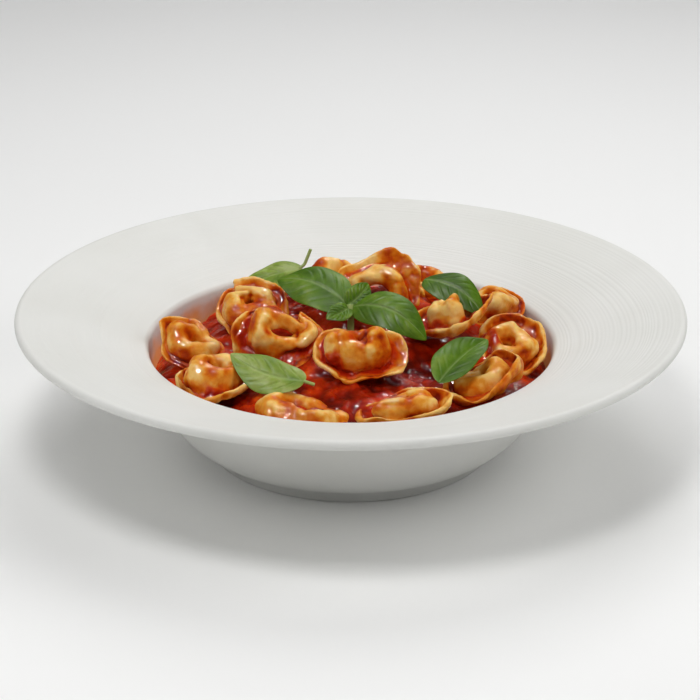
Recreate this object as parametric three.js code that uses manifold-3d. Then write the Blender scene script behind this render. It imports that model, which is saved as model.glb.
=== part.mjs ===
// Tortellini in tomato sauce with basil, served in a wide-rimmed pasta plate.
// Millimetres, +Z up; the origin is the centre of the plate's foot, on the table.
import * as THREE from "three";
import { mergeVertices } from "three/addons/utils/BufferGeometryUtils.js";
import Module from "manifold-3d";

const wasm = await Module();
wasm.setup();

const DEG = Math.PI / 180;

// ---------------------------------------------------------------- driving dimensions

const PLATE = {
  radius: 140, // over the lip
  height: 63.4, // table to the top of the lip
  lip: 4, // thickness of the rounded lip
  wall: 4.2, // thickness of the rim above the bowl
  shoulderRadius: 85.1, // where the rim turns down into the well
  shoulderHeight: 47,
  shoulderRise: 0.8, // from the turn's edge to its top
  shoulderRound: 3,
  wellRadius: 84.7, // the well just under the shoulder
  wellTop: 42,
  floorHeight: 10, // top of the well's floor
  floorRadius: 48, // its flat middle
  wellPower: 1.2, // 1 for a round curve from the floor up to the wall, more for a straighter one
  bowlRadius: 88, // outside of the bowl under the rim
  bowlStart: 64, // where the bowl's outside turns up from its base
  bowlBase: 6.5,
  bowlPower: 1.35,
  footRadius: 60, // outside of the ring that it stands on
  footWidth: 4.5,
  footHeight: 5,
  footRound: 0.6, // slope of the foot's two sides
  segments: 42,
  bowlSteps: 4,
  lipSteps: 4,
  shoulderSteps: 3,
  wellSteps: 5,
};

const GAP = 0.35; // free space between pieces that touch
const HEADROOM = 120; // higher than anything in the dish

// ---------------------------------------------------------------- helpers

// A repeatable number from -1 to 1 for property k of piece number seed.
function vary(seed, k) {
  const x = Math.sin(seed * 12.9898 + k * 78.233) * 43758.5453;
  return 2 * (x - Math.floor(x)) - 1;
}

const mix = (a, b, t) => a + (b - a) * t;
const clamp = (x, low, high) => Math.min(high, Math.max(low, x));

// A loft through rings of equal length. A loop of rings joins its end to its start; otherwise the
// ends are closed flat, triangulated as the outlines that they are in their own plane.
function loft(rings, ends) {
  const n = rings[0].length;
  const position = rings.flat().flatMap((p) => [p.x, p.y, p.z]);
  const index = [];
  const last = ends ? rings.length - 1 : rings.length;
  for (let i = 0; i < last; i++) {
    for (let j = 0; j < n; j++) {
      const a = i * n + j;
      const b = i * n + ((j + 1) % n);
      const c = ((i + 1) % rings.length) * n + j;
      const d = ((i + 1) % rings.length) * n + ((j + 1) % n);
      index.push(a, b, d, a, d, c);
    }
  }
  if (ends) {
    ends.forEach((outline, k) => {
      const first = k === 0 ? 0 : last * n;
      const flat = outline.map(([x, y]) => new THREE.Vector2(x, y));
      for (const [a, b, c] of THREE.ShapeUtils.triangulateShape(flat, [])) {
        const corners = k === 0 ? [a, c, b] : [a, b, c];
        index.push(...corners.map((corner) => first + corner));
      }
    });
  }
  return new THREE.BufferGeometry()
    .setAttribute("position", new THREE.Float32BufferAttribute(position, 3))
    .setIndex(index);
}

function toSolid(geometry) {
  const bare = new THREE.BufferGeometry()
    .setAttribute("position", geometry.getAttribute("position"))
    .setIndex(geometry.getIndex());
  const merged = mergeVertices(bare, 1e-4);
  const corners = Array.from(merged.index.array);
  const triVerts = new Uint32Array(
    corners.filter((_, i) => {
      const [a, b, c] = corners.slice(i - (i % 3), i - (i % 3) + 3);
      return a !== b && b !== c && a !== c;
    }),
  );
  const vertProperties = new Float32Array(merged.attributes.position.array);
  const mesh = { numProp: 3, vertProperties, triVerts };
  let solid = new wasm.Manifold(new wasm.Mesh(mesh));
  if (solid.volume() < 0) {
    for (let i = 0; i < triVerts.length; i += 3) {
      [triVerts[i + 1], triVerts[i + 2]] = [triVerts[i + 2], triVerts[i + 1]];
    }
    solid = new wasm.Manifold(new wasm.Mesh(mesh));
  }
  return solid;
}

function toGeometry(solid) {
  const mesh = solid.getMesh();
  const position = [];
  for (let i = 0; i < mesh.numVert; i++) {
    position.push(...mesh.vertProperties.subarray(i * mesh.numProp, i * mesh.numProp + 3));
  }
  const geometry = new THREE.BufferGeometry()
    .setAttribute("position", new THREE.Float32BufferAttribute(position, 3))
    .setIndex(Array.from(mesh.triVerts));
  geometry.computeVertexNormals();
  return geometry;
}

// The largest of a solid's separate bodies: what a cut leaves loose is dropped.
function largestBody(solid) {
  return solid.decompose().sort((a, b) => b.volume() - a.volume())[0];
}

// ---------------------------------------------------------------- plate

// The outline of the plate's section, from the axis under the foot, out and over the lip, and
// back to the axis across the floor of the well.
function plateProfile() {
  const p = PLATE;
  const footInside = p.footRadius - p.footWidth;
  const outline = [
    [0, p.footHeight],
    [footInside, p.footHeight],
    [footInside + p.footRound, 0],
    [p.footRadius, 0],
    [p.footRadius + p.footRound, p.bowlBase],
  ];
  // the bowl's outside, steeper than an ellipse, from beyond the foot to the rim's underside
  const bowlTop = p.shoulderHeight - p.wall;
  for (let i = 0; i <= p.bowlSteps; i++) {
    const a = (i / p.bowlSteps) * (Math.PI / 2);
    outline.push([
      mix(p.bowlStart, p.bowlRadius, Math.pow(Math.sin(a), p.bowlPower)),
      mix(bowlTop, p.bowlBase, Math.pow(Math.cos(a), p.bowlPower)),
    ]);
  }
  const half = p.lip / 2;
  for (let i = 0; i <= p.lipSteps; i++) {
    const a = mix(-100, 100, i / p.lipSteps) * DEG;
    outline.push([p.radius - half + half * Math.cos(a), p.height - half + half * Math.sin(a)]);
  }
  // the shoulder's rounding, from the rim's slope to the well's wall
  const r = p.shoulderRound;
  for (let i = 0; i <= p.shoulderSteps; i++) {
    const a = mix(105, 175, i / p.shoulderSteps) * DEG;
    outline.push([
      p.shoulderRadius + r + r * Math.cos(a),
      p.shoulderHeight + p.shoulderRise - r + r * Math.sin(a),
    ]);
  }
  return [...outline, ...wellProfile(0)];
}

// The well's inside from under the shoulder down to the axis, drawn in by gap.
function wellProfile(gap) {
  const p = PLATE;
  const points = [];
  for (let i = 0; i <= p.wellSteps; i++) {
    const a = (i / p.wellSteps) * (Math.PI / 2);
    points.push([
      mix(p.floorRadius, p.wellRadius, Math.pow(Math.cos(a), p.wellPower)) - gap * Math.cos(a),
      mix(p.wellTop, p.floorHeight, Math.sin(a)) + gap * Math.sin(a),
    ]);
  }
  points.push([0, p.floorHeight + gap]);
  return points;
}

function lathe(profile, segments) {
  const points = profile.map(([r, z]) => new THREE.Vector2(r, z));
  return new THREE.LatheGeometry(points, segments).rotateX(Math.PI / 2);
}

// ---------------------------------------------------------------- tortellini

// One tortellino before it is placed: a filled ring about its own Z axis, crown up, belly towards
// -Y and the pinched ends crossing at +Y, with the sealed seam standing out below as a brim.
const TORTELLINO = {
  hole: 2.2, // radius of the hole through the ring
  belly: 5.6, // half of the filling's depth at the front
  bellyHeight: 6.8, // half of its height there
  pinch: 1.7, // the same two, towards the pinched ends
  pinchHeight: 3.8,
  fullness: 1.05, // how far round the filling stays full
  lift: 1, // how much higher the ends lie than the belly
  edge: [2.6, 4, 5.5, 4, 2.6], // width of the brim, from the left end round the belly to the right
  point: 0, // how far the brim comes to a point there
  pointAt: 0, // where: -1 is the left end, 0 the belly and 1 the right end
  pointReach: 0.22, // how far from there the point starts
  ripple: 0.7, // how far the brim's edge wanders in and out
  brimThickness: 1.9,
  brimRoot: -38, // where the brim leaves the filling, in degrees below level
  droop: -25, // the brim's slope at its root, in degrees, at the front
  curl: [50, 40, 30, 40, 50], // and at its edge, from the left end to the right
  sway: 12, // how far that slope wanders, in degrees
  wide: 1.12, // stretch across
  deep: 0.98, // stretch from front to back
  lump: 1.2, // height of the filling's lumps
  cross: 0.13, // how far each end runs past the middle of the back, as a share of half a turn
  flare: 2.5, // how far the ends stand out from the ring
  size: 1,
  pulls: [], // places in the dish where the dough is pulled: the place, the pull and its reach
};

// The smooth curve through values that are spread evenly from s = -1 to 1.
function across(values, s) {
  const last = values.length - 1;
  const t = ((clamp(s, -1, 1) + 1) / 2) * last;
  const i = Math.min(Math.floor(t), last - 1);
  const f = t - i;
  const [a, b, c, d] = [i - 1, i, i + 1, i + 2].map((k) => values[clamp(k, 0, last)]);
  return b + 0.5 * f * (c - a + f * (2 * a - 5 * b + 4 * c - d + f * (3 * (b - c) + d - a)));
}

// Lumps and waves of the dough, from -1 to 1, round the ring (s) and round its section (t).
function lumps(seed, s, t) {
  let sum = 0;
  for (let k = 0; k < 4; k++) {
    const round = 1.6 + k + vary(seed, k) * 0.5;
    const along = 1 + (k % 3);
    sum += Math.sin(Math.PI * round * s + along * t + 3 * vary(seed, 10 + k)) / (1.4 + 0.5 * k);
  }
  return sum / 2;
}

// The closed section at s, from the left end at -1 through the belly at 0 to the right end at 1
// and a little past them, as points [outwards, up].
function pastaSection(shape, seed, s, detail) {
  const back = Math.min(1, Math.abs(s));
  const past = Math.max(0, (Math.abs(s) - 0.8) / (0.2 + shape.cross));
  const full = Math.pow(1 - Math.pow(back, shape.fullness), 1.1);
  const taper = 1 - 0.45 * Math.min(1, past * past);
  const a = mix(shape.pinch, shape.belly, full) * taper;
  const b = mix(shape.pinchHeight, shape.bellyHeight, full) * taper;
  const apart = Math.sign(s) * past * (shape.pinch * 0.9 + 0.3);
  const centre = shape.hole + a + apart + shape.flare * past * past;
  const lift = shape.lift * back * back;
  // round the filling, from above the brim over the crown and through the hole to below the brim
  const root = shape.brimRoot * DEG;
  const half = shape.brimThickness / 2;
  const spread = 1.3 * Math.asin(half / Math.max(half * 1.5, a, b));
  const points = [];
  for (let i = 0; i < detail.round; i++) {
    const t = root + spread + (i / (detail.round - 1)) * 2 * (Math.PI - spread);
    const bump = 1 + (shape.lump * full * lumps(seed, s, t)) / a;
    points.push([centre + a * Math.cos(t) * bump, b * Math.sin(t) * bump + lift]);
  }
  // out along the brim's underside, round its edge and back along its top
  const wave = Math.sin(5.3 * s + 2 * vary(seed, 21)) + 0.7 * Math.sin(11 * s + 3 * vary(seed, 22));
  const point = shape.point * Math.max(0, 1 - Math.abs(s - shape.pointAt) / shape.pointReach);
  const width = across(shape.edge, s) * taper + point + shape.ripple * wave * (1 - back);
  const tip = shape.sway * Math.sin(6 * s + 4 * vary(seed, 23));
  const curl = across(shape.curl, s);
  const from = (shape.droop + 0.6 * (curl - shape.curl[2] + tip)) * DEG;
  const to = (curl + tip) * DEG;
  let x = centre + a * 0.85 * Math.cos(root);
  let z = b * 0.85 * Math.sin(root) + lift;
  const under = [];
  const above = [];
  const steps = detail.brim * 4;
  for (let i = 1; i <= steps; i++) {
    const angle = mix(from, to, i / steps);
    x += (Math.cos(angle) * width) / steps;
    z += (Math.sin(angle) * width) / steps;
    if (i % 4 > 0) continue;
    const h = half * mix(1.15, 0.9, i / steps);
    under.push([x + Math.sin(angle) * h, z - Math.cos(angle) * h]);
    above.unshift([x - Math.sin(angle) * h, z + Math.cos(angle) * h]);
  }
  const edge = [x + Math.cos(to) * half * 0.8, z + Math.sin(to) * half * 0.8];
  return [...points, ...under, edge, ...above];
}

// An outline moved outwards by a distance, corner by corner. It runs counter-clockwise.
function widened(outline, distance) {
  return outline.map(([x, y], i) => {
    const [ax, ay] = outline.at(i - 1);
    const [bx, by] = outline[(i + 1) % outline.length];
    const before = new THREE.Vector2(y - ay, ax - x).normalize();
    const after = new THREE.Vector2(by - y, x - bx).normalize();
    const out = before.clone().add(after).normalize();
    const reach = distance / Math.max(0.4, out.dot(before));
    return [x + out.x * reach, y + out.y * reach];
  });
}

function placeOnRing(shape, s, [out, up]) {
  const turn = s * Math.PI;
  return new THREE.Vector3(out * Math.sin(turn) * shape.wide, -out * Math.cos(turn) * shape.deep, up);
}

// Each half of the ring is lofted from the belly to its own end, and the ends cross at the back.
function tortellino(shape, seed, grow = 0, detail = { stations: 7, round: 5, brim: 2 }) {
  const reach = 1 + shape.cross + grow / (Math.PI * (shape.hole + shape.flare));
  const halves = [-1, 1].map((side) => {
    const sections = [];
    const rings = [];
    for (let i = 0; i < detail.stations; i++) {
      const s = (side * reach * i) / (detail.stations - 1);
      sections.push(widened(pastaSection(shape, seed, s, detail), grow));
      rings.push(sections[i].map((q) => placeOnRing(shape, s, q)));
    }
    return toSolid(loft(rings, [sections[0], sections.at(-1)]));
  });
  return halves[0].add(halves[1]);
}

// Where each tortellino lies: the middle of its ring, then the heading of its belly about its own
// axis (0 is towards -Y, 90 towards +X), how far its crown leans over and towards which heading.
const PIECES = [
  { name: "back_left", at: [-42, 50, 46.5], turn: [150, 10, 0] },
  { name: "far_back", at: [-9, 66, 46.5], turn: [200, 12, 20] },
  { name: "far_right", at: [25, 65, 45.5], turn: [20, 10, 180] },
  {
    name: "left",
    at: [-65, -7, 48.5],
    turn: [-20, 22, 20],
    size: 0.9,
    hole: 2.6,
    belly: 4.6,
    pinch: 2.2,
    edge: [7, 4, 5, 4, 3],
    curl: [80, 60, 30, 40, 50],
    wide: 1.25,
    pulls: [[[-76, -1, 53], [-5, 0, 4], 4], [[-62, -6, 50], [0, 0, -2], 5]],
  },
  {
    name: "front",
    at: [-19.5, -66.5, 39.5],
    turn: [165, 14, 150],
    hole: 4.5,
    fullness: 1.8,
    edge: [2, 2, 3, 2, 2],
    flare: 1,
    cross: 0.22,
    pinch: 2.8,
    pinchHeight: 5,
    wide: 1.4,
    deep: 0.9,
  },
  {
    name: "front_left",
    at: [-53, -43, 48.5],
    turn: [-72, 8, 0],
    hole: 2,
    belly: 5.4,
    bellyHeight: 8.6,
    pinch: 3,
    pinchHeight: 5,
    edge: [2, 4, 7, 8.5, 3],
    droop: -5,
    curl: [50, 60, 80, 75, 50],
    wide: 1.1,
    deep: 1.1,
  },
  {
    name: "front_right",
    at: [20.5, -65, 44],
    turn: [8, 12, -60],
    hole: 0.8,
    belly: 5.2,
    bellyHeight: 6.4,
    fullness: 1.8,
    edge: [6, 8, 8.5, 9, 7],
    brimRoot: -55,
    droop: 5,
    curl: [80, 80, 85, 80, 90],
    wide: 1.5,
    deep: 0.75,
    lump: 1.8,
  },
  {
    name: "right",
    at: [64, -8, 48],
    turn: [75, 26, 15],
    hole: 2.2,
    belly: 5,
    pinch: 2.2,
    edge: [4, 5, 9, 9, 4],
    droop: 0,
    curl: [60, 70, 80, 80, 70],
    wide: 1.05,
    deep: 1.15,
  },
  {
    name: "right_front",
    at: [52.5, -42, 46],
    turn: [38, 14, -90],
    hole: 2,
    belly: 3.6,
    bellyHeight: 4.6,
    fullness: 2,
    pinch: 2.4,
    edge: [7, 9, 11, 11, 9],
    brimRoot: -55,
    droop: 0,
    curl: [70, 75, 80, 85, 80],
    wide: 1.45,
    deep: 0.95,
  },
  {
    name: "back_right",
    at: [60, 32, 51.5],
    turn: [25, 24, 0],
    size: 0.92,
    hole: 1.2,
    bellyHeight: 8,
    edge: [3, 5, 5, 5, 3],
    lump: 2.4,
    curl: [60, 60, 60, 60, 60],
    wide: 1.3,
  },
  { name: "behind_peak", at: [31, 46, 51.5], turn: [160, 10, 0] },
  { name: "back", at: [-8, 46, 54.5], turn: [200, 15, 0], hole: 3 },
  {
    name: "upper_left",
    at: [-43, 20, 56],
    turn: [0, 34, -10],
    hole: 1.6,
    belly: 6,
    bellyHeight: 7,
    edge: [4, 3.5, 3.5, 5, 6],
    wide: 1.35,
    deep: 1.1,
    flare: 3.5,
  },
  {
    name: "centre_right",
    at: [40, -3, 60],
    turn: [20, 14, -60],
    hole: 0.8,
    belly: 4.6,
    bellyHeight: 8.6,
    edge: [5, 10, 8.5, 11.5, 4],
    point: 2,
    pointAt: 0.4,
    droop: -20,
    curl: [60, 65, 75, 75, 60],
    lump: 2,
    wide: 1.05,
  },
  {
    name: "peak",
    at: [10.5, 21, 58],
    turn: [172, 62, 0],
    hole: 5.2,
    belly: 4.2,
    bellyHeight: 6,
    fullness: 1.8,
    edge: [5, 5, 7, 5, 4],
    point: 6.5,
    pointAt: -0.14,
    droop: -10,
    curl: [30, 25, 15, 25, 30],
    lump: 1.2,
    wide: 1.15,
  },
  {
    name: "centre_left",
    at: [-30, -16, 58.5],
    turn: [-68, 48, 0],
    hole: 2.8,
    belly: 5.2,
    bellyHeight: 6.4,
    edge: [1.5, 2.5, 8, 10, 3],
    point: 2,
    pointAt: -0.08,
    droop: -20,
    curl: [20, 20, 20, 60, 40],
    cross: 0.15,
    flare: 4,
    lift: -2,
    wide: 1.1,
    pulls: [[[-20, -26, 55.5], [8, 0, 1], 6], [[-20, -15, 60], [8, 0, -2], 5]],
  },
  {
    name: "middle",
    at: [2.5, -32, 58],
    turn: [0, 28, 0],
    hole: 0.6,
    belly: 5.6,
    bellyHeight: 6.8,
    fullness: 3.2,
    edge: [4, 5, 10, 6, 3],
    point: 3,
    pointAt: 0.2,
    curl: [80, 75, 35, 50, 75],
    lump: 2,
    lift: 3,
    wide: 1.3,
    deep: 0.85,
  },
];

function placed(solid, piece) {
  const [heading, lean, towards] = piece.turn.map((degrees) => degrees * DEG);
  const axis = new THREE.Vector3(Math.cos(towards), Math.sin(towards), 0);
  const size = piece.size;
  const matrix = new THREE.Matrix4()
    .makeTranslation(...piece.at)
    .multiply(new THREE.Matrix4().makeRotationAxis(axis, lean))
    .multiply(new THREE.Matrix4().makeRotationZ(heading))
    .multiply(new THREE.Matrix4().makeScale(size, size, size));
  let result = solid.transform(matrix.elements);
  for (const [place, pull, reach] of piece.pulls) {
    result = result.warp((point) => {
      const away = point.reduce((sum, value, k) => sum + (value - place[k]) ** 2, 0);
      const share = Math.exp(-away / (2 * reach ** 2));
      pull.forEach((value, k) => (point[k] += value * share));
    });
  }
  return result;
}

// ---------------------------------------------------------------- basil

// A leaf from the foot of its midrib to its tip. facing is where its upper face looks; arch bows
// the midrib up, sway bows it sideways, and cup raises the two edges, or lowers them if negative.
const LEAVES = [
  {
    name: "basil_leaf_back",
    from: [-21, 38, 65],
    to: [-48, 33.5, 57.5],
    width: 14,
    facing: [0, -0.45, 1],
    arch: 1,
    sway: -0.5,
    cup: -0.1,
    stem: [[-22, 38, 65], [-20, 39, 66.5], [-17.4, 40, 73]],
  },
  {
    name: "basil_leaf_right",
    from: [31, 12, 69.5],
    to: [55, -6, 60.5],
    width: 15,
    facing: [0.1, -0.8, 1],
    arch: 3,
    sway: 3,
    cup: -0.2,
  },
  {
    name: "basil_leaf_front_left",
    from: [-18.4, -54, 51],
    to: [-48.5, -42, 57.8],
    width: 17,
    facing: [0, -0.6, 1],
    arch: 0,
    sway: 3,
    cup: -0.1,
    stem: [[-18.9, -54, 51], [-14.5, -54.8, 49.8]],
  },
  {
    name: "basil_leaf_front_right",
    from: [34.5, -55.5, 51],
    to: [55, -29.5, 59],
    width: 19,
    facing: [0.1, -0.1, 1],
    arch: 1.5,
    sway: 1,
    cup: 0.25,
  },
];
const SPRIG = {
  name: "basil_sprig",
  stemRadius: 1.4,
  stem: [[-0.3, -2.5, 63.8], [0, -5, 59], [0, -7, 54]],
  leaves: [
    {
      from: [-1, -2, 63],
      to: [-31, 20, 66.5],
      width: 22,
      facing: [-0.2, -0.45, 1],
      arch: 3,
      sway: -3,
      cup: -0.15,
    },
    {
      from: [1, -3, 63],
      to: [31, -22, 56],
      width: 17.5,
      facing: [0, -0.9, 1],
      arch: 6,
      sway: 3,
      cup: -0.15,
    },
    {
      from: [-1.5, -1.8, 63.3],
      to: [7.2, 6, 70],
      width: 10,
      facing: [0.2, -0.8, 1],
      arch: 0.5,
      sway: -1,
      cup: 0.2,
    },
    {
      from: [-0.5, -3, 62.8],
      to: [-10, -10, 60.2],
      width: 9.5,
      facing: [0, -0.5, 1],
      arch: 1,
      sway: 1,
      cup: 0.1,
    },
  ],
};
const LEAF = {
  thickness: 0.8,
  endWidth: 0.8, // how broad its two ends are
  broadest: 0.8, // 1 puts the broadest place half way along, less puts it nearer to the foot
  foot: 0.6, // how pointed the foot's end is: 1 is pointed, 0.5 is round
  tip: 0.75, // and the tip
  stations: 8,
  across: 2, // columns on each side of the midrib
  stemRadius: 0.7,
  stemSides: 6,
  stemSteps: 4,
};

const vector = ([x, y, z]) => new THREE.Vector3(x, y, z);

// A point of the leaf at t along the midrib (0 to 1) and u across it (-1 to 1).
function leafPoint(l, t, u, above, grow) {
  const from = vector(l.from);
  const to = vector(l.to);
  const along = to.clone().sub(from).normalize();
  const side = vector(l.facing).cross(along).normalize();
  const up = along.clone().cross(side);
  // broadest nearer to its foot, with a blunt foot and a slightly sharper tip
  const bulge = Math.max(0, Math.sin(Math.PI * Math.pow(t, LEAF.broadest)));
  const outline = Math.pow(bulge, mix(LEAF.foot, LEAF.tip, t));
  const half = (l.width / 2) * outline + LEAF.endWidth / 2 + grow;
  const bow = 4 * t * (1 - t);
  const ripple = 0.05 * l.width * u * u * Math.sin(9 * t + 2 * u + l.width);
  return from
    .lerp(to, t)
    .addScaledVector(along, (2 * t - 1) * grow)
    .addScaledVector(up, l.arch * bow + l.cup * half * Math.abs(u) + ripple * bow + above)
    .addScaledVector(side, half * u + l.sway * bow);
}

// Two like grids of triangles, one for each face, joined by a narrow wall round their outline.
function leaf(l, grow = 0) {
  const position = [];
  const index = [];
  const n = 2 * LEAF.across + 1;
  const m = LEAF.stations * n;
  for (const face of [1, -1]) {
    for (let i = 0; i < LEAF.stations; i++) {
      for (let j = 0; j < n; j++) {
        const u = j / LEAF.across - 1;
        const h = (LEAF.thickness / 2) * (1 - 0.5 * u * u) + grow;
        const t = (1 - Math.cos((Math.PI * i) / (LEAF.stations - 1))) / 2;
        position.push(...leafPoint(l, t, u, face * h, grow).toArray());
      }
    }
  }
  for (let i = 0; i < LEAF.stations - 1; i++) {
    for (let j = 0; j < n - 1; j++) {
      const a = i * n + j;
      index.push(a, a + n, a + n + 1, a, a + n + 1, a + 1);
      index.push(m + a, m + a + n + 1, m + a + n, m + a, m + a + 1, m + a + n + 1);
    }
  }
  const outline = [];
  for (let i = 0; i < LEAF.stations; i++) outline.push(i * n);
  for (let j = 1; j < n; j++) outline.push(m - n + j);
  for (let i = LEAF.stations - 2; i >= 0; i--) outline.push(i * n + n - 1);
  for (let j = n - 2; j > 0; j--) outline.push(j);
  outline.forEach((a, k) => {
    const b = outline[(k + 1) % outline.length];
    index.push(a, m + a, m + b, a, m + b, b);
  });
  return toSolid(
    new THREE.BufferGeometry()
      .setAttribute("position", new THREE.Float32BufferAttribute(position, 3))
      .setIndex(index),
  );
}

function stem(points, radius, grow = 0) {
  const curve = new THREE.CatmullRomCurve3(points.map(vector));
  const r = radius + grow;
  const corners = [];
  for (let k = 0; k < LEAF.stemSides; k++) {
    const a = (k / LEAF.stemSides) * 2 * Math.PI;
    corners.push(new THREE.Vector2(r * Math.cos(a), r * Math.sin(a)));
  }
  const options = { steps: LEAF.stemSteps, extrudePath: curve, bevelEnabled: false };
  return toSolid(new THREE.ExtrudeGeometry(new THREE.Shape(corners), options));
}

function leafSolid(l, grow = 0) {
  const solid = leaf(l, grow);
  return l.stem ? solid.add(stem(l.stem, LEAF.stemRadius, grow)) : solid;
}

function sprigSolid(grow = 0) {
  let solid = stem(SPRIG.stem, SPRIG.stemRadius, grow);
  for (const l of SPRIG.leaves) solid = solid.add(leaf(l, grow));
  return solid;
}

// ---------------------------------------------------------------- sauce

const SAUCE = {
  level: 45.5,
  mound: 13, // height of the heap under the middle tortellini
  moundAt: [6, 18],
  moundWidth: 30,
  wave: 0.7,
  frontFall: 5, // how far the surface falls towards the well's wall at the front
  sideFall: 12, // and at the sides and the back
  pool: 5, // depth of the hollow between the tortellini at the right front
  poolAt: [29, -26],
  poolWidth: 9,
  radius: 88,
  rings: 6,
  segments: 22,
};

function sauceHeight(x, y) {
  const [cx, cy] = SAUCE.moundAt;
  const away = (x - cx) ** 2 + (y - cy) ** 2;
  const heap = SAUCE.mound * Math.exp(-away / (2 * SAUCE.moundWidth ** 2));
  const waves = SAUCE.wave * (Math.sin(0.16 * x + 0.1 * y) + Math.sin(0.13 * y - 0.19 * x + 2));
  const front = clamp(-y / PLATE.wellRadius, 0, 1);
  const fall = mix(SAUCE.sideFall, SAUCE.frontFall, Math.sqrt(front));
  const [px, py] = SAUCE.poolAt;
  const toPool = (x - px) ** 2 + (y - py) ** 2;
  const pool = SAUCE.pool * Math.exp(-toPool / (2 * SAUCE.poolWidth ** 2));
  return SAUCE.level + heap + waves - pool - fall * Math.pow(Math.hypot(x, y) / PLATE.wellRadius, 4);
}

// A block with that surface, wider and deeper than the well, before it is cut to fit.
function sauceBlock() {
  const loops = [];
  for (let i = 0; i <= SAUCE.rings; i++) {
    const r = SAUCE.radius * (1 - i / (SAUCE.rings + 1));
    const loop = [];
    for (let k = 0; k < SAUCE.segments; k++) {
      const a = (k / SAUCE.segments) * 2 * Math.PI;
      const x = r * Math.cos(a);
      const y = r * Math.sin(a);
      loop.push(new THREE.Vector3(x, y, sauceHeight(x, y)));
    }
    loops.push(loop);
  }
  loops.unshift(loops[0].map((p) => p.clone().setZ(0)));
  const outline = (loop) => loop.map((p) => [p.x, p.y]);
  return toSolid(loft(loops, [outline(loops[0]), outline(loops.at(-1))]));
}

// ---------------------------------------------------------------- the dish

const materials = {
  glaze: new THREE.MeshStandardMaterial({ color: 0xd9dad5, roughness: 0.28 }),
  pasta: new THREE.MeshStandardMaterial({ color: 0xd99a4a, roughness: 0.35 }),
  sauce: new THREE.MeshStandardMaterial({ color: 0x8e1c0c, roughness: 0.25 }),
  basil: new THREE.MeshStandardMaterial({ color: 0x3f6f22, roughness: 0.45 }),
};

const dish = new THREE.Group();

function addPart(name, solid, material) {
  const mesh = new THREE.Mesh(toGeometry(solid), material);
  mesh.name = name;
  dish.add(mesh);
}

const plate = toSolid(lathe(plateProfile(), PLATE.segments));
addPart("plate", plate, materials.glaze);

// The room over the plate that the food can fill: the well, straight up from under its shoulder.
const wellWall = wellProfile(GAP);
const ceiling = [[0, HEADROOM], [wellWall[0][0], HEADROOM]];
const room = toSolid(lathe([...ceiling, ...wellWall], PLATE.segments));

const pieces = PIECES.map((piece) => ({ ...TORTELLINO, ...piece }));
const grown = pieces.map((piece, i) => placed(tortellino(piece, i + 1, GAP), piece));
const greens = [...LEAVES.map((l) => leafSolid(l)), sprigSolid()];
const grownGreens = [...LEAVES.map((l) => leafSolid(l, GAP)), sprigSolid(GAP)];

// Each tortellino gives way to the basil and to the ones after it in the list, which lie on it.
const pasta = pieces.map((piece, i) => {
  let solid = placed(tortellino(piece, i + 1), piece).intersect(room);
  for (const other of [...grown.slice(i + 1), ...grownGreens]) solid = solid.subtract(other);
  return largestBody(solid);
});
pasta.forEach((solid, i) => addPart("tortellino_" + pieces[i].name, solid, materials.pasta));
greens.forEach((solid, i) => addPart([...LEAVES, SPRIG][i].name, solid, materials.basil));

// The sauce gives way to everything that lies in it.
let sauce = sauceBlock().intersect(room);
for (const solid of [...grown, ...grownGreens]) sauce = sauce.subtract(solid);
addPart("tomato_sauce", largestBody(sauce), materials.sauce);

export default dish;
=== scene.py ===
"""The looks of a plate of tortellini in tomato sauce with basil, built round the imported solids.

Sizes and places of the food are in millimetres, as the solids are made; MM turns them into metres.
"""

import math
from types import SimpleNamespace

import bmesh
import bpy
import numpy as np
from mathutils import Matrix, Vector
from mathutils.kdtree import KDTree


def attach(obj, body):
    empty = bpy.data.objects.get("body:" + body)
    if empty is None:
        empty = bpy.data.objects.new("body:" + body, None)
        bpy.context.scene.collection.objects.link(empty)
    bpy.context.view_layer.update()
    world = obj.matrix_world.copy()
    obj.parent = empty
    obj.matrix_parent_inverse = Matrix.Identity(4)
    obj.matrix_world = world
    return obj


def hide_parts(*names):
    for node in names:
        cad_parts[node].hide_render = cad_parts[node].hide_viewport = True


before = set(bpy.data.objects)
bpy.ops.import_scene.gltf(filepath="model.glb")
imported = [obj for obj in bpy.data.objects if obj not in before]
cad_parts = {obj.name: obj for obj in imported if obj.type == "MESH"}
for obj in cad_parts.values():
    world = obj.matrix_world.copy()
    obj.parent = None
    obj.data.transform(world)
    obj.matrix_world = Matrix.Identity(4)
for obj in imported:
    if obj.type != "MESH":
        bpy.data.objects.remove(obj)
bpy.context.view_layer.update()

MM = 0.001
UP = Vector((0, 0, 1))

# ---------------------------------------------------------------- the view

VIEW_DISTANCE = 1.0  # metres from the camera to what it looks at
VIEW_ELEVATION = math.radians(22.39)
VIEW_TARGET = Vector((-0.34, 0, 42.26)) * MM
SENSOR = 36
LENS = 121.7


def add_camera():
    data = bpy.data.cameras.new("camera")
    data.sensor_width = SENSOR
    data.lens = LENS
    data.clip_start = 0.05
    camera = bpy.data.objects.new("camera", data)
    back = Vector((0, -math.cos(VIEW_ELEVATION), math.sin(VIEW_ELEVATION)))
    camera.location = VIEW_TARGET + back * VIEW_DISTANCE
    camera.rotation_euler = (-back).to_track_quat("-Z", "Y").to_euler()
    bpy.context.collection.objects.link(camera)
    bpy.context.scene.camera = camera


LIGHTS_AIM = Vector((0, 0, 40)) * MM


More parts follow.
